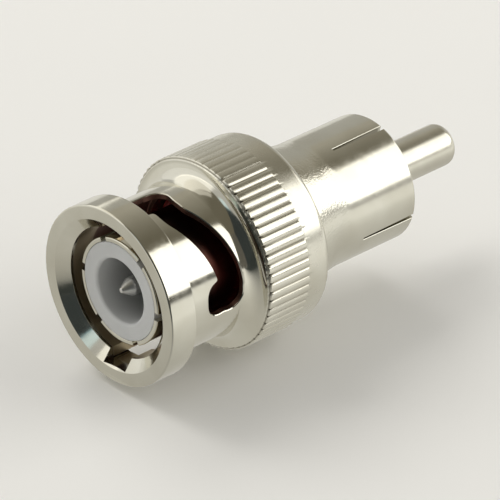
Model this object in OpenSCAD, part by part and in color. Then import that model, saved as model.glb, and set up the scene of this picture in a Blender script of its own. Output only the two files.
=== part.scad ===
// Coaxial adapter: a bayonet plug (BNC) at one end and a phono plug (RCA) at the other.
// Millimetres. +Z runs along the connector axis, from the bayonet mouth (z = 0) to the phono pin's tip.

/* [Coupling nut] */
// Length of the nut from its mouth to its rear face
nut_length = 14.5; // [13.2:0.05:16.5]
// Outside diameter of the plain ring round the mouth
ring_d = 13.5; // [13:0.1:14]
// Length of that ring
ring_length = 2.2; // [1.8:0.1:2.5]
// Outside diameter of the neck that the cam slots are cut through
neck_d = 11.4; // [11.2:0.1:12.2]
// Bore that slides over the jack's barrel
bore_d = 9.76; // [9.7:0.02:9.9]
// Diameter of the lead-in cone where it meets the mouth face
lead_d = 11.44; // [11.2:0.04:11.8]
// Depth of the lead-in cone
lead_depth = 0.75; // [0.5:0.05:1]
// Diameter of the chamber behind the bore, which leaves the neck a thin wall
chamber_d = 10.54; // [10.3:0.02:10.7]
// Distance of that chamber's front end behind the mouth
chamber_start = 2.6; // [2.5:0.1:3]
// Length of that chamber
chamber_length = 5.4; // [5:0.1:6]
// Diameter over the lands of the straight knurl
knurl_d = 14.5; // [14.3:0.1:15.5]
// Length of the knurl's lands
knurl_length = 3.6; // [2.6:0.1:4]
// Number of grooves round the knurl
knurl_count = 64; // [48:2:72]
// Depth of a knurl groove
knurl_depth = 0.24; // [0.15:0.01:0.3]
// Width of a knurl groove at its mouth
knurl_gap = 0.27; // [0.2:0.01:0.32]
// Step from the groove floors down to the rim in front of the knurl, so that the grooves run out
rim_step = 0.03; // [0.02:0.01:0.1]
// Length of the bevel from that rim up to the lands
rim_bevel = 0.3; // [0.2:0.05:0.5]
// Length of the smooth band behind the knurl
band_length = 2.05; // [1.5:0.05:2.5]
// Step from the lands down to that band
band_step = 0.13; // [0.05:0.01:0.25]
// Rounding of the nut's rear corner
rear_round = 0.55; // [0.2:0.05:0.7]
// Thickness of the inner flange that holds the nut on the body
flange_length = 1.68; // [1.2:0.02:2]

/* [Bayonet cam] */
// Width of the keyway and slot entry that take a jack's lug
entry_width = 2.3; // [2.2:0.05:2.5]
// Width of the cam slot across its path
slot_width = 2.12; // [2.08:0.02:2.3]
// Distance from the axis to the flat floor of the keyway
key_reach = 5.56; // [5.54:0.01:5.6]
// Angle of the first slot's entry round the axis
entry_angle = 214; // [0:1:359]
// Height of the entry's round end above the mouth
entry_height = 4.65; // [4.4:0.05:5]
// Turn of the nut from the entry to the end of the cam
cam_turn = 87; // [75:1:92]
// Part of that turn along which the cam starts level
cam_dwell = 23; // [15:1:30]
// Rise of the cam after that level start
cam_rise = 1.8; // [1.4:0.05:2]
// How the rise eases off towards the cam's end, where 1 is an even rise
cam_ease = 1.6; // [1:0.1:2]
// Further turn from the end of the cam to the locked seat
lock_turn = 8; // [6:0.5:10]
// Drop from the end of the cam back to the locked seat
lock_drop = 1.15; // [0.5:0.05:1.2]
// Turn that a locked lug may slip back along its seat
seat_play = 5; // [2:0.5:6]

/* [Bayonet contacts] */
// Outside diameter of the slotted outer contact
contact_d = 8.1; // [8:0.02:8.14]
// Wall of the outer contact
contact_wall = 0.35; // [0.3:0.01:0.4]
// Distance of the contact's front end behind the mouth
contact_setback = 1; // [0.6:0.1:1.6]
// Number of saw cuts in the outer contact
contact_cuts = 6; // [4:1:8]
// Width of those cuts
contact_cut = 0.6; // [0.4:0.05:0.7]
// Length of those cuts
contact_cut_length = 3.7; // [3:0.1:5]
// Angle of the first of those cuts round the axis
contact_cut_angle = 14; // [0:1:90]
// Height of the raised seat that the gasket is stretched over
seat_step = 0.2; // [0.17:0.01:0.3]
// Thickness of the shoulder behind the gasket
shoulder_length = 0.9; // [0.7:0.05:1.2]
// Outside diameter of the tail that is pressed into the phono body
tail_d = 6.6; // [6.2:0.05:6.8]
// Bore of that tail
tail_bore_d = 4.6; // [4.2:0.05:5]
// Thickness of the step inside the contact that the insulator stops against
step_length = 0.5; // [0.3:0.05:0.8]
// Diameter of the well round the centre pin
well_d = 4.84; // [4.72:0.02:5]
// Depth of that well
well_depth = 5.4; // [4.8:0.1:6]
// Bevel round the mouth of the well
well_lip = 0.22; // [0.1:0.02:0.35]
// Distance that the insulator stands out behind the tail
insulator_reach = 0.2; // [0.1:0.05:0.4]
// Diameter of the bayonet side's centre pin
bnc_pin_d = 1.35; // [1.3:0.01:1.4]
// Distance of that pin's tip behind the mouth
bnc_pin_setback = 1.15; // [0.9:0.05:2]
// Diameter of the flat on that pin's tip
bnc_tip_d = 0.32; // [0.2:0.02:0.6]
// Length of that pin's tapered tip
bnc_tip_length = 0.85; // [0.5:0.05:1.2]
// Diameter of that pin's shank, where the insulator and the phono pin hold it
shank_d = 1.8; // [1.6:0.05:2.1]
// Thickness of the gasket
gasket_length = 1.3; // [1:0.1:1.5]

/* [Washers] */
// Height of the bowed spring washer
spring_height = 1.35; // [1.1:0.05:1.6]
// Thickness of its metal
spring_wall = 0.25; // [0.2:0.01:0.35]
// Thickness of the slip washer
slip_length = 0.3; // [0.2:0.05:0.5]

/* [Phono plug] */
// Outside diameter of the phono shell
shell_d = 9.56; // [9.3:0.02:9.8]
// Wall of the phono shell
shell_wall = 0.58; // [0.5:0.02:0.7]
// Length of the shell's straight part
shell_length = 6.65; // [5.5:0.05:7.5]
// Number of saw cuts that spring the shell
shell_cuts = 4; // [2:1:6]
// Width of those cuts
shell_cut = 0.3; // [0.2:0.05:0.7]
// Length of those cuts
shell_cut_length = 4.9; // [4:0.1:5.4]
// Angle of the first cut round the axis
shell_cut_angle = 54.5; // [0:0.5:90]
// Outside diameter of the collar behind the nut
collar_d = 10.6; // [10.2:0.1:11.4]
// Length of that collar
collar_length = 1; // [0.6:0.1:2]
// Length of the taper from the collar down to the shell
taper_length = 2.7; // [2:0.1:3.5]
// Diameter of the spigot that the nut turns on
spigot_d = 7.8; // [7.6:0.05:8.2]
// Depth from the shell's end to its insulator
cup_depth = 7.7; // [7:0.1:8.6]
// Thickness of that insulator
disc_length = 1.6; // [1.2:0.1:2]
// Diameter of the phono pin
rca_pin_d = 3.2; // [3.1:0.02:3.3]
// Reach of the phono pin beyond the shell's end
rca_pin_reach = 7.45; // [6:0.05:8]
// Rounding of the phono pin's tip
rca_pin_round = 0.95; // [0.4:0.05:1.4]
// Diameter of the phono pin's head behind the insulator
head_d = 4.2; // [4:0.1:5]
// Thickness of that head
head_length = 1.09; // [0.8:0.01:1.4]
// Height of the band on the phono pin that the insulator grips
grip_step = 0.2; // [0.17:0.01:0.3]

/* [Fits] */
// Radial clearance of the nut and its washers on the body's spigot
running_gap = 0.08; // [0.03:0.01:0.1]
// Radial clearance of the shoulder, gasket and washers in the nut's bore
bore_gap = 0.12; // [0.08:0.01:0.16]
// Radial clearance of pieces pressed together
press_gap = 0.02; // [0.01:0.005:0.03]
// Space left between faces that meet end to end
face_gap = 0.03; // [0.02:0.01:0.05]

/* [Hidden] */
// Facets of round shapes
$fn = 96;
// Overrun of a cutter past what it cuts
over = 0.5;
// Small edge breaks
edge = 0.12;

// Coupling nut
ring_r = ring_d / 2;
neck_r = neck_d / 2;
bore_r = bore_d / 2;
lead_r = lead_d / 2;
chamber_r = chamber_d / 2;
chamber_end = chamber_start + chamber_length;
knurl_r = knurl_d / 2;
groove_r = knurl_r - knurl_depth;
rim_r = groove_r - rim_step;
band_r = knurl_r - band_step;
knurl_end = nut_length - band_length;
knurl_start = knurl_end - knurl_length;
rim_z = knurl_start - rim_bevel;
// The flare is a quarter round from the neck up to the rim
flare_r = rim_r - neck_r;
flare_z = rim_z - flare_r;
// Floor of a groove against its mouth
groove_floor = 0.4 * knurl_gap;

// Bayonet cam
slots = 2;
cam_steps = 24;
cam_top = entry_height + cam_rise;
cam_end = entry_angle + cam_turn;
cam_climb_turn = cam_turn - cam_dwell;
cam_climb_run = cam_climb_turn * PI / 180 * neck_r;
// Milled ends are a hair wider than the slot or keyway that runs into them
plunge = 0.04;
window_r = entry_width / 2 + plunge;
// Radius that every cutter reaches beyond the nut
mill_r = knurl_r + over;
// Angle between the corners of a milled round end
round_step = 10;

// Pieces on the spigot inside the nut, placed one against the next from the nut's inner flange
spigot_r = spigot_d / 2;
washer_in = spigot_r + running_gap;
shoulder_r = bore_r - bore_gap;
flange_z = nut_length - flange_length;
slip_z = flange_z - face_gap - slip_length;
spring_z = slip_z - face_gap - spring_height;
shoulder_end = spring_z - face_gap;
shoulder_z = shoulder_end - shoulder_length;
gasket_end = shoulder_z - face_gap;
gasket_z = gasket_end - gasket_length;
// The spring washer is cut from a bowed sheet of this inside radius
spring_bow = spring_height - spring_wall;
spring_r = (shoulder_r * shoulder_r + spring_bow * spring_bow) / (2 * spring_bow);

// Phono side, placed from the nut's rear face, and what it holds
collar_r = collar_d / 2;
collar_z = nut_length + face_gap;
taper_z = collar_z + collar_length;
shell_r = shell_d / 2;
shell_in = shell_r - shell_wall;
shell_z = taper_z + taper_length;
shell_end = shell_z + shell_length;
cup_z = shell_end - cup_depth;
disc_z = cup_z - disc_length;
rca_pin_r = rca_pin_d / 2;
rca_tip = shell_end + rca_pin_reach;
head_r = head_d / 2;
grip_r = rca_pin_r + grip_step;
head_end = disc_z - face_gap;
head_z = head_end - head_length;

// Contacts of the bayonet side, which run from the mouth back to the phono pin's head
contact_r = contact_d / 2;
contact_in = contact_r - contact_wall;
seat_r = contact_r + seat_step;
step_z = shoulder_z - step_length;
well_r = well_d / 2;
well_end = contact_setback + well_depth;
insulator_end = head_z - face_gap;
tail_r = tail_d / 2;
tail_in = tail_bore_d / 2;
tail_end = insulator_end - insulator_reach;
bnc_pin_r = bnc_pin_d / 2;
bnc_tip_r = bnc_tip_d / 2;
shank_r = shank_d / 2;
// The centre pin's shank ends inside the phono pin's socket
shank_end = cup_z;
socket_end = shank_end + face_gap;

// Flat ring from one radius to another
module washer(inner, outer, z, length)
    translate([0, 0, z]) rotate_extrude()
        translate([inner, 0]) square([outer - inner, length]);

// Saw cuts round the axis, from z up through the end of a tube
module saw_cuts(count, first, width, reach, z, length)
    for (i = [0 : count - 1])
        rotate(first + i * 360 / count)
            translate([0, -width / 2, z]) cube([reach, width, length]);

// Half section of the coupling nut, mouth at the bottom
module nut_section()
    difference() {
        union() {
            polygon([
                [lead_r, 0], [ring_r - edge, 0], [ring_r, edge], [ring_r, ring_length - edge],
                [ring_r - edge, ring_length], [neck_r, ring_length], [neck_r, flare_z], [rim_r, flare_z],
                [rim_r, rim_z], [knurl_r, knurl_start], [knurl_r, knurl_end - edge], [band_r, knurl_end],
                [band_r, nut_length - rear_round], [band_r - rear_round, nut_length - rear_round],
                [band_r - rear_round, nut_length], [washer_in, nut_length], [washer_in, flange_z],
                [bore_r, flange_z], [bore_r, chamber_end], [chamber_r, chamber_end],
                [chamber_r, chamber_start], [bore_r, chamber_start], [bore_r, lead_depth]
            ]);
            translate([band_r - rear_round, nut_length - rear_round]) circle(rear_round);
        }
        translate([rim_r, flare_z]) circle(flare_r);
    }

// Straight grooves of the knurl
module knurl_grooves()
    translate([0, 0, rim_z - over])
        linear_extrude(knurl_end - edge - rim_z + over)
            for (i = [0 : knurl_count - 1])
                rotate(i * 360 / knurl_count)
                    polygon([[groove_r, -groove_floor / 2], [knurl_r + edge, -knurl_gap / 2],
                             [knurl_r + edge, knurl_gap / 2], [groove_r, groove_floor / 2]]);

// Share of the climb's turn that is done, for a share of the cam's whole turn
function cam_done(t) = max(0, (cam_turn * t - cam_dwell) / cam_climb_turn);

// Angle of the cam against the mouth face there
function cam_slope(u) =
    u > 0 ? atan(cam_rise / cam_climb_run * cam_ease * pow(1 - u, cam_ease - 1)) : 0;

// Corner of the cam cutter's section at a station along the cam
function cam_corner(i, r, side) =
    let (t = i / cam_steps, u = cam_done(t), a = entry_angle + cam_turn * t,
         z = entry_height + cam_rise * (1 - pow(1 - u, cam_ease))
             + side * slot_width / 2 / cos(cam_slope(u)))
    [r * cos(a), r * sin(a), z];

// Cutter that follows the cam, one section per station
module cam_cutter() {
    inner = contact_r;
    outer = mill_r;
    points = [for (i = [0 : cam_steps])
        each [cam_corner(i, inner, -1), cam_corner(i, outer, -1),
              cam_corner(i, outer, 1), cam_corner(i, inner, 1)]];
    last = 4 * cam_steps;
    sides = [for (i = [0 : cam_steps - 1]) for (k = [0 : 3])
        let (a = 4 * i + k, b = 4 * i + (k + 1) % 4)
        each [[a, b, a + 4], [b, b + 4, a + 4]]];
    polyhedron(points, concat([[3, 2, 1, 0]], sides, [[last, last + 1, last + 2, last + 3]]));
}

// Broached keyway from the mouth to the slot's entry
module keyway()
    rotate(entry_angle) translate([contact_r, -entry_width / 2, -over])
        cube([key_reach - contact_r, entry_width, entry_height + over]);

// Milled entry through the neck, from the ring to a round end
module entry_window()
    rotate(entry_angle) translate([contact_r, 0, 0]) rotate([90, 0, 90])
        linear_extrude(mill_r - contact_r)
            polygon(concat(
                [[-window_r, ring_length + edge], [window_r, ring_length + edge]],
                [for (a = [0 : round_step : 180]) [window_r * cos(a), entry_height + window_r * sin(a)]]));

// Round hole through the neck, pointing out from the axis
module radial_hole(angle, z)
    rotate(angle) translate([contact_r, 0, z]) rotate([0, 90, 0])
        cylinder(d = slot_width + plunge, h = mill_r - contact_r, $fn = 360 / round_step);

// Seat that the lug springs back into once the nut is turned home
module lock_seat()
    hull() {
        radial_hole(cam_end, cam_top);
        radial_hole(cam_end + lock_turn, cam_top - lock_drop);
        radial_hole(cam_end + lock_turn - seat_play, cam_top - lock_drop);
    }

// The same cut for each lug
module each_lug()
    for (i = [0 : slots - 1]) rotate(i * 360 / slots) children();

// Bayonet coupling nut, turned from one bar, then knurled, broached and milled in that order
module coupling_nut()
    color([0.76, 0.74, 0.69])
        difference() {
            difference() {
                difference() {
                    difference() {
                        rotate_extrude() nut_section();
                        knurl_grooves();
                    }
                    each_lug() keyway();
                }
                each_lug() entry_window();
            }
            each_lug() cam_cutter();
            each_lug() lock_seat();
        }

// Flat washer that the nut's inner flange turns against
module slip_washer()
    color([0.7, 0.68, 0.62]) washer(washer_in, shoulder_r, slip_z, slip_length);

// Bowed spring washer between the shoulder and the slip washer
module spring_washer()
    color([0.62, 0.6, 0.55])
        intersection() {
            washer(washer_in, shoulder_r, spring_z - over, spring_height + 2 * over);
            translate([-ring_r, 0, spring_z + spring_height - spring_r - spring_wall]) rotate([0, 90, 0])
                difference() {
                    cylinder(r = spring_r + spring_wall, h = ring_d);
                    translate([0, 0, -over]) cylinder(r = spring_r, h = ring_d + 2 * over);
                }
        }

// Rubber ring that the jack's barrel presses on
module gasket()
    color([0.36, 0.06, 0.06])
        washer(seat_r + press_gap, shoulder_r, gasket_z, gasket_length);

// Slotted outer contact with its shoulder and the tail pressed into the body
module outer_contact()
    color([0.78, 0.76, 0.71])
        difference() {
            rotate_extrude()
                polygon([
                    [contact_in, contact_setback], [contact_r - edge, contact_setback],
                    [contact_r, contact_setback + edge], [contact_r, gasket_z],
                    [seat_r, gasket_z], [seat_r, shoulder_z], [shoulder_r, shoulder_z],
                    [shoulder_r, shoulder_end], [tail_r, shoulder_end], [tail_r, tail_end],
                    [tail_in, tail_end], [tail_in, step_z], [contact_in, step_z]
                ]);
            saw_cuts(contact_cuts, contact_cut_angle, contact_cut, shoulder_r,
                     contact_setback - over, contact_cut_length + over);
        }

// White insulator round the bayonet side's centre pin
module bnc_insulator()
    color([0.86, 0.87, 0.89])
        rotate_extrude()
            polygon([
                [well_r + well_lip, contact_setback], [contact_in - press_gap - edge, contact_setback],
                [contact_in - press_gap, contact_setback + edge], [contact_in - press_gap, step_z - face_gap],
                [tail_in - press_gap, step_z - face_gap], [tail_in - press_gap, insulator_end],
                [shank_r + press_gap, insulator_end], [shank_r + press_gap, well_end],
                [well_r, well_end], [well_r, contact_setback + well_lip]
            ]);

// Centre pin of the bayonet side, with the thicker shank that joins the phono pin
module bnc_pin()
    color([0.8, 0.77, 0.7])
        rotate_extrude()
            polygon([
                [0, bnc_pin_setback], [bnc_tip_r, bnc_pin_setback],
                [bnc_pin_r, bnc_pin_setback + bnc_tip_length], [bnc_pin_r, well_end],
                [shank_r, well_end], [shank_r, shank_end], [0, shank_end]
            ]);

// Body with the spigot inside the nut, the collar and the sprung phono shell, turned in one
module rca_body()
    color([0.76, 0.74, 0.69])
        difference() {
            rotate_extrude()
                polygon([
                    [tail_r + press_gap, shoulder_end + face_gap], [spigot_r, shoulder_end + face_gap],
                    [spigot_r, collar_z], [collar_r, collar_z], [collar_r, taper_z], [shell_r, shell_z],
                    [shell_r, shell_end - edge], [shell_r - edge, shell_end], [shell_in, shell_end],
                    [shell_in, head_end], [tail_r + press_gap, head_end]
                ]);
            saw_cuts(shell_cuts, shell_cut_angle, shell_cut, collar_r,
                     shell_end - shell_cut_length, shell_cut_length + over);
        }

// Insulating disc at the bottom of the phono cup
module rca_insulator()
    color([0.86, 0.87, 0.89])
        washer(grip_r + press_gap, shell_in - press_gap, disc_z, disc_length);

// Phono pin with the head that holds it behind the disc and the socket for the centre pin
module rca_pin()
    color([0.78, 0.76, 0.71])
        rotate_extrude()
            difference() {
                union() {
                    translate([0, head_z]) square([head_r, head_length]);
                    translate([0, head_z]) square([grip_r, cup_z - head_z]);
                    translate([0, head_z]) square([rca_pin_r, rca_tip - rca_pin_round - head_z]);
                    translate([0, head_z]) square([rca_pin_r - rca_pin_round, rca_tip - head_z]);
                    translate([rca_pin_r - rca_pin_round, rca_tip - rca_pin_round])
                        intersection() {
                            circle(rca_pin_round);
                            square(rca_pin_round);
                        }
                }
                translate([0, head_z - over]) square([shank_r + press_gap, socket_end - head_z + over]);
            }

coupling_nut();
slip_washer();
spring_washer();
gasket();
outer_contact();
bnc_insulator();
bnc_pin();
rca_body();
rca_insulator();
rca_pin();
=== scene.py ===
import bmesh
import bpy
import math
import random
from mathutils import Matrix, Vector
from mathutils.geometry import delaunay_2d_cdt


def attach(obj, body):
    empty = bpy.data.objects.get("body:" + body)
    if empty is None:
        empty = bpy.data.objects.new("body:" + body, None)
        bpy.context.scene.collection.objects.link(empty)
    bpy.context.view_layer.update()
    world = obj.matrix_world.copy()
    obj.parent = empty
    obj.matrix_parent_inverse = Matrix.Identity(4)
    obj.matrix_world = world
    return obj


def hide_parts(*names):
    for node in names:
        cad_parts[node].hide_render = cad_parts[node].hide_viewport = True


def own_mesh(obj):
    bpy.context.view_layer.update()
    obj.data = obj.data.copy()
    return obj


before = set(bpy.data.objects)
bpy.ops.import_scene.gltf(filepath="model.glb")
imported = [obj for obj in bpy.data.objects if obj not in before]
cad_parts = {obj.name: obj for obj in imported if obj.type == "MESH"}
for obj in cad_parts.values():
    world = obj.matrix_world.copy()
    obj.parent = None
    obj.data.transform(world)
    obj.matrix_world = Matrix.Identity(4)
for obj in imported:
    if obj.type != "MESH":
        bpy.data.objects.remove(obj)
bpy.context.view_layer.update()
mm = 0.001
chance = random.Random(7)
print("frame loaded:", ", ".join(sorted(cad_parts)))


# Camera of the photograph, rolled because the adapter lies there on its side and stands here on its mouth
photoCamera = dict(
    place=(1.2011, -289.0860, -191.9480),
    forward=(0.0, 0.81638, 0.57753),
    right=(0.42117, -0.52381, 0.74044),
    up=(-0.90699, -0.24324, 0.34383),
    lens=360.94,
    sensor=36.0,
    clip=(0.01, 5.0),  # metres
)


def makeCamera(values):
    data = bpy.data.cameras.new("photoCamera")
    data.lens, data.sensor_width = values["lens"], values["sensor"]
    data.clip_start, data.clip_end = values["clip"]
    camera = bpy.data.objects.new("photoCamera", data)
    bpy.context.scene.collection.objects.link(camera)
    right, up, back = Vector(values["right"]), Vector(values["up"]), -Vector(values["forward"])
    turn = Matrix((right, up, back)).transposed().to_4x4()
    camera.matrix_world = Matrix.Translation(Vector(values["place"]) * mm) @ turn
    bpy.context.scene.camera = camera


makeCamera(photoCamera)
print("camera placed")


# Mesh tools, all sizes in mm

def roundedLine(corners, steps=4, closed=True, hold=0.03, most=0.48):
    # corners are (radius, height, fillet); a fillet of 0 leaves the corner as it is
    # most is the share of a straight part that one fillet may take up
    # a point held close to each end of a fillet keeps the shading of the straight parts true
    line, count = [], len(corners)
    for i, (r, z, fillet) in enumerate(corners):
        here = Vector((r, z))
        if not fillet or (not closed and i in (0, count - 1)):
            line.append(here)
            continue
        back = Vector(corners[i - 1][:2]) - here
        ahead = Vector(corners[(i + 1) % count][:2]) - here
        half = back.angle(ahead) / 2
        reach = min(fillet / math.tan(half), most * back.length, most * ahead.length)
        middle = here + (back.normalized() + ahead.normalized()).normalized() * (reach / math.cos(half))
        first = here + back.normalized() * reach - middle
        last = here + ahead.normalized() * reach - middle
        if reach + hold < 0.5 * back.length:
            line.append(here + back.normalized() * (reach + hold))
        for k in range(steps + 1):
            line.append(middle + first.slerp(last, k / steps) * first.length)
        if reach + hold < 0.5 * ahead.length:
            line.append(here + ahead.normalized() * (reach + hold))
    return line


def evenAngles(count):
    return [2 * math.pi * i / count for i in range(count)]


def turned(name, line, angles, closed=True, shape=None):
    # spins a section round the axis; shape may change a ring's radius column by column
    mesh = bmesh.new()
    rings = []
    for r, z in line:
        if r < 1e-6:
            rings.append([mesh.verts.new((0, 0, z * mm))])
            continue
        ring = []
        for column, a in enumerate(angles):
            here = shape(r, z, column) if shape else r
            ring.append(mesh.verts.new((here * mm * math.cos(a), here * mm * math.sin(a), z * mm)))
        rings.append(ring)
    pairs = list(zip(rings, rings[1:])) + ([(rings[-1], rings[0])] if closed else [])
    count = len(angles)
    for low, high in pairs:
        for i in range(count):
            j = (i + 1) % count
            if len(low) == 1 and len(high) == 1:
                break
            if len(low) == 1:
                mesh.faces.new((low[0], high[j], high[i]))
            elif len(high) == 1:
                mesh.faces.new((low[i], low[j], high[0]))
            else:
                mesh.faces.new((low[i], low[j], high[j], high[i]))
    return wrapUp(name, mesh)


def wrapUp(name, mesh):
    bmesh.ops.recalc_face_normals(mesh, faces=mesh.faces[:])
    data = bpy.data.meshes.new(name)
    mesh.to_mesh(data)
    mesh.free()
    piece = bpy.data.objects.new(name, data)
    bpy.context.scene.collection.objects.link(piece)
    return piece


def cutAway(piece, cutter):
    # takes the cutter out of the piece for good and throws the cutter away
    cut = piece.modifiers.new("cut", "BOOLEAN")
    cut.operation, cut.solver, cut.object = "DIFFERENCE", "EXACT", cutter
    graph = bpy.context.evaluated_depsgraph_get()
    fresh = bpy.data.meshes.new_from_object(piece.evaluated_get(graph))
    old = piece.data
    piece.modifiers.clear()
    fresh.name = piece.name
    piece.data = fresh
    bpy.data.meshes.remove(old)
    bpy.data.objects.remove(cutter)


def sawCutter(name, count, firstAngle, widths, inside, outside, low, high, chamfer):
    # flat saw cuts through a tube wall, opened a little where they break the outside
    # widths are at the low and at the high end
    mesh = bmesh.new()
    for k in range(count):
        turn = Matrix.Rotation(math.radians(firstAngle + 360 * k / count), 4, "Z")
        rows = []
        for width, z in zip(widths, (low, high)):
            half = [(inside, width / 2), (outside - chamfer, width / 2),
                    (outside + chamfer, width / 2 + 2 * chamfer)]
            section = [(x, -y) for x, y in half] + half[::-1]
            rows.append([mesh.verts.new(turn @ Vector((x * mm, y * mm, z * mm))) for x, y in section])
        mesh.faces.new(rows[0])
        mesh.faces.new(rows[1])
        for i in range(len(rows[0])):
            j = (i + 1) % len(rows[0])
            mesh.faces.new((rows[0][i], rows[0][j], rows[1][j], rows[1][i]))
    return wrapUp(name, mesh)


def finishPiece(piece, material, body, node, sharpAngle=32):
    data = piece.data
    data.polygons.foreach_set("use_smooth", [True] * len(data.polygons))
    data.set_sharp_from_angle(angle=math.radians(sharpAngle))
    data.materials.clear()
    data.materials.append(material)
    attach(piece, body)
    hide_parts(node)
    print("piece done:", piece.name, len(data.polygons), "faces")


# Materials
noiseSpan = (0.3, 0.7)  # where most values of a noise texture lie


def addNode(tree, kind, inputs=None, **settings):
    made = tree.nodes.new(kind)
    for key, value in settings.items():
        setattr(made, key, value)
    for key, value in (inputs or {}).items():
        if isinstance(value, bpy.types.NodeSocket):
            tree.links.new(value, made.inputs[key])
        else:
            made.inputs[key].default_value = value
    return made


def newMaterial(name):
    material = bpy.data.materials.new(name)
    material.use_nodes = True
    tree = material.node_tree
    return material, tree, tree.nodes["Principled BSDF"]


def axisValues(tree):
    # height along the axis and distance from it, in metres, from the piece's own coordinates
    place = addNode(tree, "ShaderNodeTexCoord").outputs["Object"]
    split = addNode(tree, "ShaderNodeSeparateXYZ", {"Vector": place})
    flat = addNode(tree, "ShaderNodeCombineXYZ", {"X": split.outputs["X"], "Y": split.outputs["Y"]})
    reach = addNode(tree, "ShaderNodeVectorMath", {0: flat.outputs["Vector"]}, operation="LENGTH")
    return place, split.outputs["Z"], reach.outputs["Value"]


def mathNode(tree, operation, a, b=0.0, c=None, clamp=False):
    values = {0: a, 1: b}
    if c is not None:
        values[2] = c
    return addNode(tree, "ShaderNodeMath", values, operation=operation, use_clamp=clamp).outputs["Value"]


def window(tree, value, low, high, soft):
    # 1 between low and high, fading to 0 over soft at both ends
    rise = addNode(tree, "ShaderNodeMapRange", {"Value": value, 1: low - soft, 2: low})
    fall = addNode(tree, "ShaderNodeMapRange", {"Value": value, 1: high, 2: high + soft, 3: 1.0, 4: 0.0})
    return mathNode(tree, "MULTIPLY", rise.outputs["Result"], fall.outputs["Result"])


def mixColour(tree, factor, a, b):
    mixed = tree.nodes.new("ShaderNodeMix")
    mixed.data_type = "RGBA"
    for socket, value in ((mixed.inputs[0], factor), (mixed.inputs[6], a), (mixed.inputs[7], b)):
        if isinstance(value, bpy.types.NodeSocket):
            tree.links.new(value, socket)
        else:
            socket.default_value = value
    return mixed.outputs[2]


def roughness(tree, noise, look):
    # spreads the noise's usual values over the two ends of the roughness
    spread = addNode(tree, "ShaderNodeMapRange", {"Value": noise.outputs["Fac"], 1: noiseSpan[0],
                                                  2: noiseSpan[1], 3: look["rough"][0], 4: look["rough"][1]})
    return spread.outputs["Result"]


def platedMetal(name, look):
    material, tree, shader = newMaterial(name)
    place, height, reach = axisValues(tree)
    along = mathNode(tree, "ADD", height, reach)
    # fine rings left by the lathe, weaker in some places than in others
    rings = addNode(tree, "ShaderNodeTexNoise", {"W": along, "Scale": look["ringScale"], "Detail": 3.0},
                    noise_dimensions="1D").outputs["Fac"]
    patch = addNode(tree, "ShaderNodeTexNoise", {"Vector": place, "Scale": look["patchScale"], "Detail": 2.0})
    peel = addNode(tree, "ShaderNodeTexNoise", {"Vector": place, "Scale": look["peelScale"], "Detail": 2.0})
    grit = addNode(tree, "ShaderNodeTexNoise", {"Vector": place, "Scale": look["gritScale"], "Detail": 1.0})
    ringHeight = mathNode(tree, "MULTIPLY", rings, patch.outputs["Fac"])
    bump = addNode(tree, "ShaderNodeBump", {"Height": ringHeight, "Distance": look["ringDepth"] * mm})
    bump = addNode(tree, "ShaderNodeBump", {"Height": peel.outputs["Fac"], "Distance": look["peelDepth"] * mm,
                                            "Normal": bump.outputs["Normal"]})
    bump = addNode(tree, "ShaderNodeBump", {"Height": grit.outputs["Fac"], "Distance": look["gritDepth"] * mm,
                                            "Normal": bump.outputs["Normal"]})
    if "chatter" in look:
        # torn marks where the turning tool chattered
        low, high, fade, depth, scale = look["chatter"]
        marks = addNode(tree, "ShaderNodeTexNoise", {"Vector": place, "Scale": scale, "Detail": 2.0})
        where = window(tree, height, low * mm, high * mm, fade * mm)
        marks = mathNode(tree, "MULTIPLY", marks.outputs["Fac"], where)
        bump = addNode(tree, "ShaderNodeBump", {"Height": marks, "Distance": depth * mm,
                                                "Normal": bump.outputs["Normal"]})
    share = addNode(tree, "ShaderNodeMapRange", {"Value": patch.outputs["Fac"], 1: look["patchSpan"][0],
                                                 2: look["patchSpan"][1]})
    colour = mixColour(tree, share.outputs["Result"], (*look["warm"], 1), (*look["clear"], 1))
    rough = roughness(tree, peel, look)
    for low, high, floor, top, grooveShade in look.get("grooves", ()):
        # painted shade darkens the floor of the knurl's grooves, which is also rougher: heights, radii of the
        # floor and of clear metal, tone
        inKnurl = window(tree, height, low * mm, high * mm, look["grooveFade"] * mm)
        deep = addNode(tree, "ShaderNodeMapRange", {"Value": reach, 1: floor * mm, 2: top * mm,
                                                    3: 1.0, 4: 0.0})
        shadedGroove = mathNode(tree, "MULTIPLY", inKnurl, deep.outputs["Result"])
        colour = mixColour(tree, shadedGroove, colour, (*grooveShade, 1))
        rough = mathNode(tree, "MULTIPLY_ADD", shadedGroove, look["grooveRough"], rough)
    if "satin" in look:
        # the knurl and the band behind it are less polished than the front
        start, fade, more = look["satin"]
        behind = addNode(tree, "ShaderNodeMapRange", {"Value": height, 1: (start - fade) * mm, 2: start * mm})
        rough = mathNode(tree, "MULTIPLY_ADD", behind.outputs["Result"], more, rough)
    for low, high, front, back, soft, tone, more in look.get("inside", ()):
        # painted shade inside hollows, darker and in places reddish, on plating that is also rougher where no
        # buffing wheel reaches: radii, heights, fade, tone, added roughness
        shadedInside = mathNode(tree, "MULTIPLY", window(tree, height, front * mm, back * mm, soft * mm),
                          window(tree, reach, low * mm, high * mm, look["wallFade"] * mm))
        colour = mixColour(tree, shadedInside, colour, (*tone, 1))
        rough = mathNode(tree, "MULTIPLY_ADD", shadedInside, more, rough)
    tree.links.new(colour, shader.inputs["Base Color"])
    tree.links.new(rough, shader.inputs["Roughness"])
    tree.links.new(bump.outputs["Normal"], shader.inputs["Normal"])
    shader.inputs["Metallic"].default_value = 1.0
    return material


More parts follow.
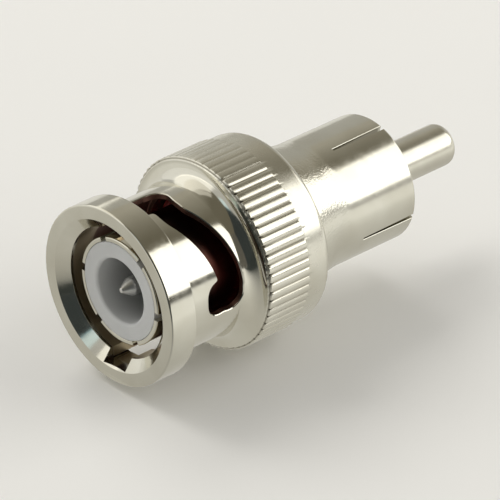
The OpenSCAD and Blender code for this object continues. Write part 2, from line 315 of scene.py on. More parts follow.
def mouldedPlastic(name, look):
    material, tree, shader = newMaterial(name)
    place, height, reach = axisValues(tree)
    cloud = addNode(tree, "ShaderNodeTexNoise", {"Vector": place, "Scale": look["cloudScale"], "Detail": 3.0})
    skin = addNode(tree, "ShaderNodeTexNoise", {"Vector": place, "Scale": look["skinScale"], "Detail": 2.0})
    colour = mixColour(tree, cloud.outputs["Fac"], (*look["shade"], 1), (*look["light"], 1))
    if "well" in look:
        # painted shade, greyer down the well
        wall, fade, front, back, tone = look["well"]
        inWell = addNode(tree, "ShaderNodeMapRange", {"Value": reach, 1: wall * mm, 2: (wall + fade) * mm,
                                                      3: 1.0, 4: 0.0})
        deep = addNode(tree, "ShaderNodeMapRange", {"Value": height, 1: front * mm, 2: back * mm})
        share = mathNode(tree, "MULTIPLY", inWell.outputs["Result"], deep.outputs["Result"])
        colour = mixColour(tree, share, colour, (*tone, 1))
    bump = addNode(tree, "ShaderNodeBump", {"Height": skin.outputs["Fac"],
                                            "Distance": look["skinDepth"] * mm})
    tree.links.new(colour, shader.inputs["Base Color"])
    tree.links.new(roughness(tree, cloud, look), shader.inputs["Roughness"])
    tree.links.new(bump.outputs["Normal"], shader.inputs["Normal"])
    return material


nickelLook = dict(
    warm=(0.67, 0.65, 0.565), clear=(0.73, 0.715, 0.635),
    rough=(0.09, 0.15), ringScale=9000.0, ringDepth=0.00035, patchScale=320.0,
    peelScale=1500.0, peelDepth=0.0016, gritScale=14000.0, gritDepth=0.00012,
    patchSpan=(0.35, 0.65), wallFade=0.04,
)
nutNickel = platedMetal("nutNickel", dict(
    nickelLook, satin=(8.7, 0.2, 0.13), grooveFade=0.02, grooveRough=0.3,
    # painted shade on the knurl's groove floors, darkest in the notches at the front
    grooves=((8.62, 12.35, 7.13, 7.19, (0.4, 0.38, 0.32)), (8.7, 9.0, 7.1, 7.17, (0.1, 0.09, 0.07))),
    # painted shade inside the nut and on the walls of its slots, deepening to reddish-brown further in
    inside=((3.0, 5.6, 1.1, 12.4, 0.3, (0.52, 0.44, 0.3), 0.3),
            (3.0, 5.6, 3.4, 12.4, 1.2, (0.2, 0.11, 0.085), 0.0))))
bodyNickel = platedMetal("bodyNickel", dict(
    nickelLook, patchScale=260.0, rough=(0.14, 0.2), peelDepth=0.0022,
    chatter=(15.2, 18.4, 0.3, 0.018, 6500.0),
    # painted shade on the walls of the shell's saw cuts
    inside=((4.26, 4.7, 20.0, 24.6, 0.1, (0.34, 0.32, 0.26), 0.0),)))
# painted shade on the contact inside the nut, redder at the back close to the gasket, a painted reflection of
# it
contactPlate = platedMetal("contactPlate", dict(
    nickelLook, clear=(0.76, 0.74, 0.66), rough=(0.08, 0.13),
    inside=((3.95, 4.9, 3.4, 12.4, 1.2, (0.12, 0.066, 0.054), 0.22),
            (3.95, 4.9, 7.0, 12.4, 1.2, (0.22, 0.055, 0.042), 0.0))))
pinPlate = platedMetal("pinPlate", dict(nickelLook, clear=(0.76, 0.74, 0.66), rough=(0.22, 0.26),
                                        peelDepth=0.0005, gritDepth=0.00003))
tipPlate = platedMetal("tipPlate", dict(nickelLook, warm=(0.7, 0.695, 0.675), clear=(0.78, 0.775, 0.755),
                                        rough=(0.3, 0.38), gritDepth=0.00003))
springMetal = platedMetal("springMetal", dict(nickelLook, warm=(0.42, 0.4, 0.36), clear=(0.52, 0.5, 0.46),
                                              rough=(0.25, 0.35)))
plasticLook = dict(cloudScale=700.0, skinScale=9000.0)
whiteInsulator = mouldedPlastic("whiteInsulator", dict(
    plasticLook, shade=(0.56, 0.57, 0.575), light=(0.64, 0.65, 0.655), rough=(0.38, 0.5), skinDepth=0.0015,
    # painted shade greys the well of the insulator
    well=(2.45, 0.15, 1.0, 3.8, (0.35, 0.355, 0.35))))
redRubber = mouldedPlastic("redRubber", dict(
    plasticLook, shade=(0.42, 0.02, 0.018), light=(0.52, 0.035, 0.03), rough=(0.5, 0.65), skinDepth=0.003))
print("materials made")


# Coupling nut
nut = dict(
    mouth=5.72, bore=4.88, leadDepth=0.75, ring=6.75, ringLength=2.2, neck=5.7, length=14.5,
    chamber=5.27, chamberStart=2.6, chamberEnd=8.0,
    rim=6.98, rimHeight=8.55, landStart=8.72, landEnd=12.33, bandStart=12.45, land=7.25, band=7.12,
    grooveFloor=7.13, flangeBore=3.98, flange=12.82, grooves=64, grooveMouth=0.24, grooveBase=0.04,
    crown=0.6, notch=0.06, lightSide=(186.0, 232.0, 8.0), lightDepth=0.25,
    entryAngle=214.0, entryWidth=2.3, entryHeight=4.65, slotWidth=2.08, camTurn=87.0, camDwell=23.0,
    camRise=1.8, camEase=1.6, lockTurn=8.0, lockDrop=1.15, seatPlay=5.0, plunge=0.04, keyFloor=5.56,
    slotEdge=0.05, cornerEase=0.3, pocket=(9.33, 6.27, 1.2),
    edgeColumn=0.06, landColumns=(0.266, 0.356, 0.446), landRows=(8.95, 9.75, 10.65, 11.55, 12.15, 12.27),
    chamferRows=(0.12, 0.3, 0.65), bandRow=12.9, flareSteps=16, roundSteps=5, notchLength=0.2,
    ringRound=0.12, neckRound=0.1, bandRound=0.55, flangeRound=0.1, chamberRound=0.1,
    driftPlay=0.012, widthPlay=(0.9, 1.12), depthPlay=0.015, frontPlay=0.05,
    slotReach=(4.3, 7.7), slotStep=0.02, slotSpacing=0.12, ringGap=0.12, entryStart=-9.0, walkStart=3.6,
    camStations=30, gridStep=0.5, gridSpan=(-2, 24, 4, 18), gridClear=0.2, keyInside=4.2, keyStart=-0.5,
)


def nutColumns(values):
    # nine columns to each groove of the knurl, a little uneven as a knurl is
    # one side is pressed lightly
    pitch = 2 * math.pi / values["grooves"]
    half, base, land = values["grooveMouth"] / 2, values["grooveBase"] / 2, values["land"]
    edge, onLand = values["edgeColumn"], values["landColumns"]
    angles, kinds, depths = [], [], []
    sideStart, sideEnd, soft = values["lightSide"]
    for g in range(values["grooves"]):
        turn = math.degrees(g * pitch)
        apart = max(sideStart - turn, turn - sideEnd, 0.0)
        pressed = values["lightDepth"] + (1 - values["lightDepth"]) * min(1.0, apart / soft)
        drift = chance.uniform(-values["driftPlay"], values["driftPlay"])
        wide = chance.uniform(*values["widthPlay"])
        depth = chance.uniform(-values["depthPlay"], values["depthPlay"])
        front = chance.uniform(-values["frontPlay"], values["frontPlay"])
        for offset in (-half - edge, -half, -base, base, half, half + edge, *onLand):
            kind = "floor" if abs(offset) == base else "land"
            shift = offset if offset in onLand else drift + offset * wide
            off = abs(offset) - onLand[1]
            angles.append(g * pitch + shift / land)
            kinds.append(kind)
            depths.append((depth, front, pressed, values["crown"] * off * off))
    return angles, kinds, depths


def slotOutline(values):
    # walks round the joined outline of the entry, the cam and the locked seat on the unrolled neck
    neck = values["neck"]
    outside, entry = Vector((0.0, values["entryStart"])), Vector((0.0, values["entryHeight"]))
    floor = values["ringLength"] + values["ringGap"]
    # the cam starts level, then climbs and eases off towards the seat
    camPath = []
    for k in range(values["camStations"]):
        turn = values["camTurn"] * k / (values["camStations"] - 1)
        done = max(0.0, (turn - values["camDwell"]) / (values["camTurn"] - values["camDwell"]))
        climb = values["camRise"] * (1 - max(0.0, 1 - done) ** values["camEase"])
        camPath.append(Vector((math.radians(turn) * neck, values["entryHeight"] + climb)))
    camEnd = camPath[-1]
    seat = camEnd + Vector((math.radians(values["lockTurn"]) * neck, -values["lockDrop"]))
    slack = seat - Vector((math.radians(values["seatPlay"]) * neck, 0.0))

    def toSegment(p, a, b):
        along = max(0.0, min(1.0, (p - a).dot(b - a) / (b - a).length_squared))
        return (p - a - (b - a) * along).length

    def depth(p):
        opening = toSegment(p, outside, entry) - values["entryWidth"] / 2 - values["plunge"]
        opening = max(opening, floor - p.y)
        cam = min(toSegment(p, a, b) for a, b in zip(camPath, camPath[1:])) - values["slotWidth"] / 2
        lock = min(toSegment(p, camEnd, seat), toSegment(p, seat, slack), toSegment(p, slack, camEnd))
        lock -= (values["slotWidth"] + values["plunge"]) / 2
        lock = min(lock, (p - Vector(values["pocket"][:2])).length - values["pocket"][2])
        # the corners between the cuts are eased
        ease = values["cornerEase"]
        near = max(0.0, ease - abs(opening - cam)) / ease
        return min(min(opening, cam) - near * near * ease / 4, lock)

    def slope(p):
        e = 1e-4
        g = Vector((depth(p + Vector((e, 0))) - depth(p - Vector((e, 0))),
                    depth(p + Vector((0, e))) - depth(p - Vector((0, e)))))
        return g.normalized()

    p = Vector((-values["entryWidth"] / 2 - values["plunge"], values["walkStart"]))
    walk, start = [p.copy()], p.copy()
    for k in range(6000):  # more steps than it needs
        g = slope(p)
        p = p + Vector((g.y, -g.x)) * -values["slotStep"]
        for settle in range(2):
            p = p - slope(p) * depth(p)
        walk.append(p.copy())
        if k > 100 and (p - start).length < values["slotStep"]:  # back at the start
            break
    # even spacing, then the corners are eased
    total = [0.0]
    for a, b in zip(walk, walk[1:]):
        total.append(total[-1] + (b - a).length)
    count = int(total[-1] / values["slotSpacing"])
    points, k = [], 0
    for i in range(count):
        want = total[-1] * i / count
        while total[k + 1] < want:
            k += 1
        share = (want - total[k]) / max(total[k + 1] - total[k], 1e-9)
        points.append(walk[k].lerp(walk[k + 1], share))
    for ease in range(3):
        points = [points[i - 1] * 0.25 + points[i] * 0.5 + points[(i + 1) % count] * 0.25
                  for i in range(count)]
    return points


def slotCutter(name, values):
    outline = slotOutline(values)
    count, neck, edge = len(outline), values["neck"], values["slotEdge"]
    inside, outside = values["slotReach"]
    outward = []
    for i in range(count):
        run = (outline[(i + 1) % count] - outline[i - 1]).normalized()
        outward.append(Vector((run.y, -run.x)))
    area = sum(outline[i - 1].cross(outline[i]) for i in range(count))
    if area < 0:
        outward = [-n for n in outward]
    # a grid of points lets the caps follow the curve of the neck
    # those that fall outside the outline get no face and are deleted below
    first, last, bottom, top = values["gridSpan"]
    inner = []
    for a in range(first, last):
        for b in range(bottom, top):
            p = Vector((a, b)) * values["gridStep"]
            if min((p - q).length for q in outline) > values["gridClear"]:
                inner.append(p)
    filled = delaunay_2d_cdt(outline + inner, [], [list(range(count))], 1, 1e-6)
    verts, faces, source = filled[0], filled[2], filled[3]
    mesh = bmesh.new()

    def onNeck(p, r, turn):
        a = math.radians(values["entryAngle"] + turn) + p.x / neck
        return mesh.verts.new((r * mm * math.cos(a), r * mm * math.sin(a), p.y * mm))

    for turn in (0.0, 180.0):
        rings = []
        for r, spread in ((inside, 0.0), (neck - edge, 0.0), (neck + edge, 2 * edge), (outside, 2 * edge)):
            rings.append([onNeck(p + n * spread, r, turn) for p, n in zip(outline, outward)])
        for low, high in zip(rings, rings[1:]):
            for i in range(count):
                j = (i + 1) % count
                mesh.faces.new((low[i], low[j], high[j], high[i]))
        for ring, r in ((rings[0], inside), (rings[-1], outside)):
            caps = []
            for v, origin in zip(verts, source):
                rimIndex = [o for o in origin if o < count]
                caps.append(ring[rimIndex[0]] if rimIndex else onNeck(v, r, turn))
            for face in faces:
                mesh.faces.new([caps[i] for i in face])
    bmesh.ops.remove_doubles(mesh, verts=mesh.verts[:], dist=1e-9)
    loose = [v for v in mesh.verts if not v.link_faces]
    bmesh.ops.delete(mesh, geom=loose, context="VERTS")
    return wrapUp(name, mesh)


def keyCutter(name, values):
    mesh = bmesh.new()
    half = values["entryWidth"] / 2
    for turn in (0.0, 180.0):
        spin = Matrix.Rotation(math.radians(values["entryAngle"] + turn), 4, "Z")
        made = bmesh.ops.create_cube(mesh, size=1.0)["verts"]
        for v in made:
            x = values["keyFloor"] if v.co.x > 0 else values["keyInside"]
            y = half if v.co.y > 0 else -half
            z = values["entryHeight"] if v.co.z > 0 else values["keyStart"]
            v.co = spin @ Vector((x * mm, y * mm, z * mm))
    return wrapUp(name, mesh)


def makeNut(values):
    angles, kinds, depths = nutColumns(values)
    flare = values["rim"] - values["neck"]
    low = values["rimHeight"] - flare
    corners = [
        (values["mouth"], 0, 0.04), (values["ring"], 0, values["ringRound"]),
        (values["ring"], values["ringLength"], 0.05),
        (values["neck"], values["ringLength"], values["neckRound"]), (values["neck"], low, 0),
    ]
    for k in range(1, values["flareSteps"]):
        a = math.pi - math.pi / 2 * k / values["flareSteps"]
        corners.append((values["rim"] + flare * math.cos(a), low + flare * math.sin(a), 0))
    corners += [(values["rim"], values["rimHeight"], 0.04)]
    rise = values["land"] - values["rim"]
    for share in values["chamferRows"]:
        corners.append((values["rim"] + rise * share,
                        values["rimHeight"] + (values["landStart"] - values["rimHeight"]) * share, 0))
    corners += [(values["land"], values["landStart"], 0)]
    corners += [(values["land"], z, 0) for z in values["landRows"]]
    corners += [
        (values["land"], values["landEnd"], 0), (values["band"], values["bandStart"], 0),
        (values["band"], values["bandRow"], 0), (values["band"], values["length"], values["bandRound"]),
        (values["flangeBore"], values["length"], values["flangeRound"]),
        (values["flangeBore"], values["flange"], 0.05),
        (values["bore"], values["flange"], 0), (values["bore"], values["chamberEnd"], 0),
        (values["chamber"], values["chamberEnd"], values["chamberRound"]),
        (values["chamber"], values["chamberStart"], values["chamberRound"]),
        (values["bore"], values["chamberStart"], 0), (values["bore"], values["leadDepth"], 0.05),
    ]

    near = 0.01  # heights this close are one row

    def knurled(r, z, column):
        kind, (depth, front, pressed, crown) = kinds[column], depths[column]
        if r < values["rim"] or not values["rimHeight"] < z < values["bandStart"] - near:
            return r
        if kind == "floor":
            notch = values["notch"] if z < values["landStart"] + values["notchLength"] else 0.0
            floor = values["land"] - (values["land"] - values["grooveFloor"] - depth + notch) * pressed
            return min(r, floor) if z < values["landEnd"] else r
        if z < values["landStart"] + near:
            r = min(values["land"], r + front * (r - values["rim"]))
        return r - crown * pressed

    piece = turned("couplingNut", roundedLine(corners, values["roundSteps"]), angles, shape=knurled)
    cutAway(piece, slotCutter("slotCutter", values))
    cutAway(piece, keyCutter("keyCutter", values))
    finishPiece(piece, nutNickel, "nut", "coupling_nut")


makeNut(nut)


# Body with the phono shell
body = dict(
    tailBore=3.32, spigot=3.9, front=11.11, collar=5.3, collarStart=14.53, taperStart=15.53, shell=4.78,
    shellStart=18.23, shellEnd=24.88, shellBore=4.2, step=15.55,
    cuts=4, cutAngle=54.5, cutWidth=(0.17, 0.38), cutStart=19.98, cutInside=3.6, cutPast=0.6, cutEdge=0.025,
    sweep=7.0, collarRound=0.12, shellRound=0.13, columns=240, roundSteps=5,
)


def makeBody(values):
    piece = turned("phonoBody", roundedLine([
        (values["tailBore"], values["front"], 0.04), (values["spigot"], values["front"], 0.06),
        (values["spigot"], values["collarStart"], 0.03),
        (values["collar"], values["collarStart"], values["collarRound"]),
        (values["collar"], values["taperStart"], values["sweep"]),
        (values["shell"], values["shellStart"], values["sweep"]),
        (values["shell"], values["shellEnd"], values["shellRound"]),
        (values["shellBore"], values["shellEnd"], 0.08),
        (values["shellBore"], values["step"], 0), (values["tailBore"], values["step"], 0),
    ], values["roundSteps"]), evenAngles(values["columns"]))
    cutAway(piece, sawCutter("shellCuts", values["cuts"], values["cutAngle"], values["cutWidth"],
                             values["cutInside"], values["shell"], values["cutStart"],
                             values["shellEnd"] + values["cutPast"], values["cutEdge"]))
    finishPiece(piece, bodyNickel, "plug_body", "rca_body")


makeBody(body)


# Phono pin
phonoPin = dict(shaft=1.6, tip=32.33, tipRound=0.95, gripStart=15.55, gripEnd=17.18, grip=1.8,
                head=2.1, headStart=14.46, socket=0.92, socketEnd=17.21, columns=128, roundSteps=10)


def makePhonoPin(values):
    piece = turned("phonoPin", roundedLine([
        (0, values["tip"], 0), (values["shaft"], values["tip"], values["tipRound"]),
        (values["shaft"], values["gripEnd"], 0), (values["grip"], values["gripEnd"], 0.05),
        (values["grip"], values["gripStart"], 0), (values["head"], values["gripStart"], 0.05),
        (values["head"], values["headStart"], 0.05), (values["socket"], values["headStart"], 0.05),
        (values["socket"], values["socketEnd"], 0), (0, values["socketEnd"], 0),
    ], values["roundSteps"], closed=False), evenAngles(values["columns"]), closed=False)
    finishPiece(piece, pinPlate, "plug_body", "rca_pin")


makePhonoPin(phonoPin)


# Slotted outer contact
contact = dict(
    bore=3.7, outside=4.05, front=1.0, seatStart=8.85, seat=4.25, shoulderStart=10.18, shoulder=4.76,
    shoulderEnd=11.08, tail=3.3, tailEnd=14.23, tailBore=2.3, step=9.68,
    cuts=6, cutAngle=14.0, cutWidth=(0.6, 0.6), cutEnd=4.7, cutInside=3.2, cutPast=0.4, cutEdge=0.02,
    frontRound=0.12, tailRound=0.1, columns=192, roundSteps=4,
)


def makeContact(values):
    piece = turned("outerContact", roundedLine([
        (values["bore"], values["front"], 0.04), (values["outside"], values["front"], values["frontRound"]),
        (values["outside"], values["seatStart"], 0), (values["seat"], values["seatStart"], 0.04),
        (values["seat"], values["shoulderStart"], 0), (values["shoulder"], values["shoulderStart"], 0.05),
        (values["shoulder"], values["shoulderEnd"], 0.05), (values["tail"], values["shoulderEnd"], 0),
        (values["tail"], values["tailEnd"], values["tailRound"]),
        (values["tailBore"], values["tailEnd"], 0.03),
        (values["tailBore"], values["step"], 0), (values["bore"], values["step"], 0),
    ], values["roundSteps"]), evenAngles(values["columns"]))
    cutAway(piece, sawCutter("contactCuts", values["cuts"], values["cutAngle"], values["cutWidth"],
                             values["cutInside"], values["outside"], values["front"] - values["cutPast"],
                             values["cutEnd"], values["cutEdge"]))
    finishPiece(piece, contactPlate, "plug_body", "outer_contact")


makeContact(contact)


# Insulator round the bayonet side's centre pin
insulator = dict(well=2.42, wellEnd=6.4, lip=0.26, outside=3.68, front=1.0, step=9.65, tail=2.28, end=14.43,
                 pinHole=0.92, wellRound=0.2, columns=160, roundSteps=6)


def makeInsulator(values):
    piece = turned("bayonetInsulator", roundedLine([
        (values["well"], values["front"], values["lip"]), (values["outside"], values["front"], 0.05),
        (values["outside"], values["step"], 0.05), (values["tail"], values["step"], 0),
        (values["tail"], values["end"], 0.05), (values["pinHole"], values["end"], 0),
        (values["pinHole"], values["wellEnd"], 0), (values["well"], values["wellEnd"], values["wellRound"]),
    ], values["roundSteps"]), evenAngles(values["columns"]))
    finishPiece(piece, whiteInsulator, "plug_body", "bnc_insulator")


makeInsulator(insulator)


# Centre pin of the bayonet side
centrePin = dict(tip=1.15, flat=0.16, taperEnd=2.0, shaft=0.675, wellEnd=6.4, shank=0.9, end=17.18,
                 tipRound=0.1, taperRound=0.35, columns=96, roundSteps=6)


def makeCentrePin(values):
    piece = turned("centrePin", roundedLine([
        (0, values["tip"], 0), (values["flat"], values["tip"], values["tipRound"]),
        (values["shaft"], values["taperEnd"], values["taperRound"]),
        (values["shaft"], values["wellEnd"], 0), (values["shank"], values["wellEnd"], 0),
        (values["shank"], values["end"], 0.05), (0, values["end"], 0),
    ], values["roundSteps"], closed=False), evenAngles(values["columns"]), closed=False)
    finishPiece(piece, tipPlate, "plug_body", "bnc_pin")


makeCentrePin(centrePin)


# Insulating disc in the phono cup and the rubber gasket
phonoDisc = dict(hole=1.82, outside=4.18, front=15.58, back=17.18, edge=0.08, columns=128, roundSteps=4)
gasketRing = dict(hole=4.27, outside=4.76, front=8.85, back=10.15, edge=0.12, columns=128, roundSteps=4)


def makeRing(name, values, material, node):
    edge = values["edge"]
    piece = turned(name, roundedLine([
        (values["hole"], values["front"], edge), (values["outside"], values["front"], edge),
        (values["outside"], values["back"], edge), (values["hole"], values["back"], edge),
    ], values["roundSteps"]), evenAngles(values["columns"]))
    finishPiece(piece, material, "plug_body", node)


makeRing("phonoDisc", phonoDisc, whiteInsulator, "rca_insulator")
makeRing("gasketRing", gasketRing, redRubber, "gasket")


# Bowed spring washer inside the nut, built in the bowed state it has before the nut is pushed on and flattens
# it
springWasher = dict(hole=3.98, outside=4.76, low=11.11, high=12.46, wall=0.25, edge=0.04, flat=0.33,
                    columns=128, roundSteps=3)


def makeSpring(values):
    bow = values["high"] - values["low"] - values["wall"]
    bend = (values["outside"] ** 2 + bow ** 2) / (2 * bow)
    top, under = values["high"], values["high"] - values["wall"]
    piece = turned("springWasher", roundedLine([
        (values["hole"], under, values["edge"]), (values["outside"], under, values["edge"]),
        (values["outside"], top, values["edge"]), (values["hole"], top, values["edge"]),
    ], values["roundSteps"]), evenAngles(values["columns"]))
    for v in piece.data.vertices:
        v.co.z -= (bend - math.sqrt(bend ** 2 - (v.co.y / mm) ** 2)) * mm
    finishPiece(piece, springMetal, "plug_body", "spring_washer")
    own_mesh(piece)


makeSpring(springWasher)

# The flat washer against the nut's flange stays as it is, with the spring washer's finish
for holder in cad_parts["slip_washer"].material_slots:
    holder.material = springMetal
print("washers finished")


# Table that the adapter lies on as the camera sees it, its lamps and its surroundings
tableUp = Vector((-0.7794, -0.6266, 0.0))
tableNear = Vector((-tableUp.y, tableUp.x, 0.0))
tableAlong = Vector((0.0, 0.0, 1.0))
middle = Vector((0.0, 0.0, 14.0)) * mm  # lamps and cards stand round this point
table = dict(drop=7.3, size=700.0, colour=(0.86, 0.855, 0.84), faintScale=60.0, faint=0.985, rough=0.9,
             shine=0.1)


def fromTable(azimuth, elevation):
    a, e = math.radians(azimuth), math.radians(elevation)
    flat = tableNear * math.cos(a) + tableAlong * math.sin(a)
    return flat * math.cos(e) + tableUp * math.sin(e)


def cardPlane(name, centre, facing, upward, width, height):
    # a flat card with its face towards facing
    across = upward.cross(facing).normalized()
    rise = facing.cross(across).normalized()
    mesh = bmesh.new()
    corners = [mesh.verts.new(centre + across * (x * width * mm / 2) + rise * (y * height * mm / 2))
               for x, y in ((-1, -1), (1, -1), (1, 1), (-1, 1))]
    mesh.faces.new(corners)
    data = bpy.data.meshes.new(name)
    mesh.to_mesh(data)
    mesh.free()
    card = bpy.data.objects.new(name, data)
    bpy.context.scene.collection.objects.link(card)
    return card


def upright(values):
    # centre, direction, width and height of an upright panel that fills these angles, seen from the adapter
    left, right, low, high = values["fills"]
    towards = fromTable((left + right) / 2, 0)
    low, high = [values["distance"] * math.tan(math.radians(a)) for a in (low, high)]
    width = 2 * values["distance"] * math.tan(math.radians((right - left) / 2))
    centre = middle + (towards * values["distance"] + tableUp * (low + high) / 2) * mm
    return centre, towards, width, high - low


def oneSided(tree, shaderSocket):
    # the far side lets every view through
    clear = addNode(tree, "ShaderNodeBsdfTransparent")
    side = addNode(tree, "ShaderNodeNewGeometry")
    mixed = addNode(tree, "ShaderNodeMixShader", {0: side.outputs["Backfacing"], 1: shaderSocket,
                                                  2: clear.outputs["BSDF"]})
    tree.links.new(mixed.outputs["Shader"], tree.nodes["Material Output"].inputs["Surface"])


def paleTop(name, look):
    material, tree, shader = newMaterial(name)
    place = addNode(tree, "ShaderNodeTexCoord").outputs["Object"]
    cloud = addNode(tree, "ShaderNodeTexNoise", {"Vector": place, "Scale": look["faintScale"], "Detail": 2.0})
    greyer = [c * look["faint"] for c in look["colour"]]
    tint = mixColour(tree, cloud.outputs["Fac"], (*greyer, 1), (*look["colour"], 1))
    tree.links.new(tint, shader.inputs["Base Color"])
    shader.inputs["Roughness"].default_value = look["rough"]
    shader.inputs["Specular IOR Level"].default_value = look["shine"]
    oneSided(tree, shader.outputs["BSDF"])
    return material


def makeTable(values):
    top = cardPlane("tableTop", middle - tableUp * values["drop"] * mm, tableUp, tableAlong,
                    values["size"], values["size"])
    top.data.materials.append(paleTop("tableTop", values))


makeTable(table)


# Soft boxes: the azimuths and elevations that each fills, and its brightness as seen in a mirror
# backFill isn't mirrored, so it lights the table, the plastic and the rubber but not the metal
softBoxes = dict(
    rightBox=dict(fills=(17, 84, 7.8, 50.4), distance=250, bright=1.7, tint=(1.0, 0.985, 0.94)),
    backBox=dict(fills=(146, 244, 22, 60), distance=180, bright=0.65, tint=(1.0, 0.97, 0.9)),
    backTop=dict(fills=(150, 246, 61, 72), distance=100, bright=0.4, tint=(1.0, 0.97, 0.9)),
    backFill=dict(fills=(150, 210, 30, 60), distance=300, bright=3.2, tint=(1.0, 0.985, 0.95),
                  mirrored=False),
    backLow=dict(fills=(168, 242, -1, 24), distance=305, bright=0.36, tint=(1.0, 0.99, 0.95)),
    leftBox=dict(fills=(-103, -88, 28, 42), distance=300, bright=0.4, tint=(0.5, 0.86, 1.0)),
)


def makeSoftBox(name, values):
    centre, towards, width, height = upright(values)
    data = bpy.data.lights.new(name, "AREA")
    data.shape, data.size, data.size_y = "RECTANGLE", width * mm, height * mm
    data.energy = values["bright"] * math.pi * data.size * data.size_y
    data.color = values["tint"]
    lamp = bpy.data.objects.new(name, data)
    bpy.context.scene.collection.objects.link(lamp)
    across = tableUp.cross(towards).normalized()
    turn = Matrix((across, tableUp, towards)).transposed().to_4x4()
    lamp.matrix_world = Matrix.Translation(centre) @ turn
    lamp.visible_camera = False
    lamp.visible_glossy = values.get("mirrored", True)


for name, values in softBoxes.items():
    makeSoftBox(name, values)


# Cards out of view, which give the bright metal something darker to show
darkCards = dict(
    lampFoot=dict(fills=(10, 34.8, 0.6, 8.6), distance=320, colour=(0.13, 0.125, 0.11)),
    nearLeft=dict(fills=(-90, -25, -1, 46), distance=300, colour=(0.045, 0.052, 0.052)),
    nearRight=dict(fills=(-25, 20, -1, 46), distance=330, colour=(0.13, 0.122, 0.105)),
    farCorner=dict(fills=(116, 158, -1, 32), distance=310, colour=(0.45, 0.44, 0.4)),
)
nearFloor = dict(near=(-5, 300), along=(-320, 0), lift=1.0, colour=(0.04, 0.046, 0.043),
                 fade=(6, -20, -2, 10))
litFloor = dict(size=600, lift=0.03, dark=(0.56, 0.545, 0.495), pale=(0.98, 0.965, 0.905), reach=(11, 33),
                centre=10, half=22, aside=5, behind=(-20, 5), behindShare=0.55)
ceiling = dict(height=320, width=840, depth=980, shift=140, dark=(0.165, 0.15, 0.112),
               pale=(0.44, 0.415, 0.35), lean=0.4, ramp=(0.03, 0.39))


def ceilingColour(tree):
    # darker over the near side and the soft box, paler towards the back
    place = addNode(tree, "ShaderNodeTexCoord").outputs["Object"]
    slope = addNode(tree, "ShaderNodeVectorMath",
                    {0: place, 1: (-tableNear.x, -tableNear.y, ceiling["lean"])}, operation="DOT_PRODUCT")
    share = addNode(tree, "ShaderNodeMapRange", {"Value": slope.outputs["Value"], 1: ceiling["ramp"][0],
                                                 2: ceiling["ramp"][1]})
    return mixColour(tree, share.outputs["Result"], (*ceiling["dark"], 1), (*ceiling["pale"], 1))


def floorColour(tree):
    # greyer close to the adapter and behind it, where it keeps the light off the floor
    place = addNode(tree, "ShaderNodeTexCoord").outputs["Object"]
    aside = addNode(tree, "ShaderNodeVectorMath", {0: place, 1: tableNear},
                    operation="DOT_PRODUCT").outputs["Value"]
    height = addNode(tree, "ShaderNodeSeparateXYZ", {"Vector": place}).outputs["Z"]
    ahead = mathNode(tree, "ABSOLUTE", mathNode(tree, "SUBTRACT", height, litFloor["centre"] * mm))
    ahead = mathNode(tree, "MAXIMUM", mathNode(tree, "SUBTRACT", ahead, litFloor["half"] * mm), 0.0)
    flat = addNode(tree, "ShaderNodeCombineXYZ", {"X": mathNode(tree, "ADD", aside, litFloor["aside"] * mm),
                                                  "Y": ahead})
    away = addNode(tree, "ShaderNodeVectorMath", {0: flat.outputs["Vector"]}, operation="LENGTH")
    share = addNode(tree, "ShaderNodeMapRange", {"Value": away.outputs["Value"],
                                                 1: litFloor["reach"][0] * mm, 2: litFloor["reach"][1] * mm})
    front = addNode(tree, "ShaderNodeMapRange", {"Value": aside, 1: litFloor["behind"][0] * mm,
                                                 2: litFloor["behind"][1] * mm,
                                                 3: litFloor["behindShare"], 4: 1.0})
    share = mathNode(tree, "MULTIPLY", share.outputs["Result"], front.outputs["Result"])
    return mixColour(tree, share, (*litFloor["dark"], 1), (*litFloor["pale"], 1))


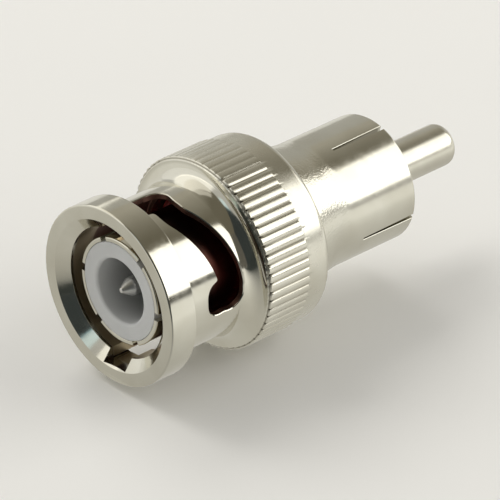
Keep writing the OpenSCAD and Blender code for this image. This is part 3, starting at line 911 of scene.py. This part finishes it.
def glowingCard(card, colour, fade=None):
    # seen only in reflections, and only from its front
    material, tree, shader = newMaterial(card.name)
    tree.nodes.remove(shader)
    glow = addNode(tree, "ShaderNodeEmission", {"Strength": 1.0})
    if callable(colour):
        tree.links.new(colour(tree), glow.inputs["Color"])
    else:
        glow.inputs["Color"].default_value = (*colour, 1)
    shown = glow.outputs["Emission"]
    if fade:
        # thins out towards the adapter
        place = addNode(tree, "ShaderNodeTexCoord").outputs["Object"]
        ahead = addNode(tree, "ShaderNodeSeparateXYZ", {"Vector": place}).outputs["Z"]
        across = addNode(tree, "ShaderNodeVectorMath", {0: place, 1: tableNear}, operation="DOT_PRODUCT")
        share = addNode(tree, "ShaderNodeMapRange", {"Value": ahead, 1: fade[0] * mm, 2: fade[1] * mm})
        side = addNode(tree, "ShaderNodeMapRange", {"Value": across.outputs["Value"], 1: fade[2] * mm,
                                                    2: fade[3] * mm})
        share = mathNode(tree, "MULTIPLY", share.outputs["Result"], side.outputs["Result"])
        clear = addNode(tree, "ShaderNodeBsdfTransparent")
        mixed = addNode(tree, "ShaderNodeMixShader", {0: share, 1: clear.outputs["BSDF"], 2: shown})
        shown = mixed.outputs["Shader"]
    oneSided(tree, shown)
    card.data.materials.append(material)
    card.visible_camera = card.visible_diffuse = card.visible_shadow = False


for name, values in darkCards.items():
    centre, towards, width, height = upright(values)
    glowingCard(cardPlane(name, centre, -towards, tableUp, width, height), values["colour"])
centre = tableNear * sum(nearFloor["near"]) / 2 + tableAlong * sum(nearFloor["along"]) / 2
centre += tableUp * (nearFloor["lift"] - table["drop"])
width = nearFloor["near"][1] - nearFloor["near"][0]
depth = nearFloor["along"][1] - nearFloor["along"][0]
glowingCard(cardPlane("nearFloor", middle + centre * mm, tableUp, tableAlong, width, depth),
            nearFloor["colour"], nearFloor["fade"])
centre = tableUp * ceiling["height"] + tableAlong * ceiling["shift"]
glowingCard(cardPlane("ceiling", middle + centre * mm, -tableUp, tableAlong,
                      ceiling["width"], ceiling["depth"]), ceilingColour)
centre = tableUp * (litFloor["lift"] - table["drop"])
glowingCard(cardPlane("litFloor", middle + centre * mm, tableUp, tableAlong,
                      litFloor["size"], litFloor["size"]), floorColour)

# Pale room all round
room = dict(seen=(0.55, 0.54, 0.51), fill=0.7)


def makeRoom(values):
    world = bpy.data.worlds.new("paleRoom")
    bpy.context.scene.world = world
    world.use_nodes = True
    tree = world.node_tree
    background = tree.nodes["Background"]
    background.inputs["Color"].default_value = (*values["seen"], 1)
    path = addNode(tree, "ShaderNodeLightPath")
    shown = mathNode(tree, "ADD", path.outputs["Is Camera Ray"], path.outputs["Is Glossy Ray"])
    shown = mathNode(tree, "ADD", shown, path.outputs["Is Transmission Ray"], clamp=True)
    level = addNode(tree, "ShaderNodeMapRange", {"Value": shown, 3: values["fill"], 4: 1.0})
    tree.links.new(level.outputs["Result"], background.inputs["Strength"])


makeRoom(room)
bpy.context.scene.view_settings.view_transform = "Standard"
print("stage and lamps set")
